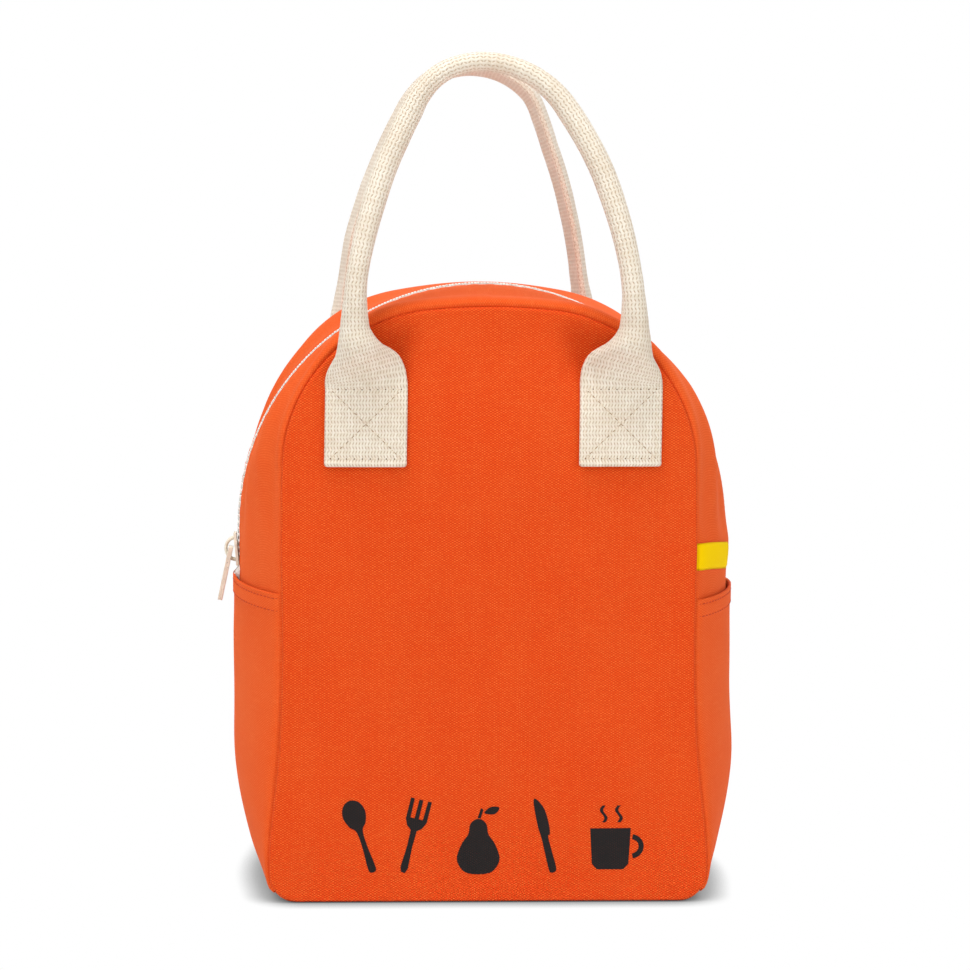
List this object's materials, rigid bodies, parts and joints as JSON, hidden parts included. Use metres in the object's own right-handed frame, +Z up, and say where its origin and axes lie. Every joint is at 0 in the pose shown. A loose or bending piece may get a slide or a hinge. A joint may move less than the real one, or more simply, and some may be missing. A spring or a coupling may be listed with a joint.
{
  "type": "lunch bag",
  "caption": "Soft dome-topped canvas lunch bag with a zip over the top, folding front, side slip pockets, webbing handles and a fabric side tag.",
  "frame": {"origin": "centre of the base, on the surface that the bag stands on", "axes": "+Z up, front faces -Y, +X to the right seen from the front"},
  "size_m": [0.2088, 0.1456, 0.3348],
  "materials": {
    "canvas": "orange cotton canvas, matte",
    "foam": "closed-cell foam sheet",
    "lining": "smooth pale grey lining",
    "binding": "grey seam binding",
    "zip_tape": "white woven tape",
    "zip_teeth": "white moulded",
    "zip_metal": "cream paint",
    "webbing": "natural cotton webbing",
    "tag": "yellow woven ribbon"
  },
  "bodies": {
    "bag": {"lower_gusset": "canvas", "back_zip_strip": "canvas", "front_panel_lower": "canvas", "back_panel": "canvas", "left_pocket": "canvas", "right_pocket": "canvas", "gusset_foam": "foam", "back_top_foam": "foam", "front_foam_lower": "foam", "back_foam": "foam", "gusset_lining": "lining", "back_top_lining": "lining", "front_lining_lower": "lining", "back_lining": "lining", "front_binding_lower": "binding", "back_binding": "binding", "back_zip_tape": "zip_tape", "back_zip_teeth": "zip_teeth", "back_zip_stop": "zip_teeth", "zip_end_stop": "zip_teeth", "back_handle_tabs": "webbing"},
    "front_flap": {"front_zip_strip": "canvas", "front_top_foam": "foam", "front_top_lining": "lining", "front_panel_upper": "canvas", "front_foam_upper": "foam", "front_lining_upper": "lining", "front_binding_upper": "binding", "side_tag": "tag", "front_zip_tape": "zip_tape", "front_zip_teeth": "zip_teeth", "front_zip_stop": "zip_teeth", "front_handle_tabs": "webbing"},
    "front_handle": {"front_handle_loop": "webbing"},
    "back_handle": {"back_handle_loop": "webbing"},
    "slider": {"zip_slider": "zip_metal"},
    "pull": {"zip_pull": "zip_metal"}
  },
  "joints": [
    {"name": "front_fold", "type": "hinge", "parent": "bag", "child": "front_flap", "pos_m": [0, -0.0585, 0.126], "axis": [1, 0, 0], "range_deg": [0, 60]},
    {"name": "front_handle_swing", "type": "hinge", "parent": "front_flap", "child": "front_handle", "pos_m": [0, -0.068, 0.2034], "axis": [-1, 0, 0], "range_deg": [-150, 0]},
    {"name": "back_handle_swing", "type": "hinge", "parent": "bag", "child": "back_handle", "pos_m": [0, 0.068, 0.2034], "axis": [-1, 0, 0], "range_deg": [0, 150]},
    {"name": "zip_run", "type": "hinge", "parent": "bag", "child": "slider", "pos_m": [0, 0, 0.143], "axis": [0, 1, 0], "range_deg": [0, 189]},
    {"name": "pull_swing", "type": "hinge", "parent": "slider", "child": "pull", "pos_m": [-0.10281, 0, 0.1346], "axis": [0, 1, 0], "range_deg": [0, 155]}
  ]
}
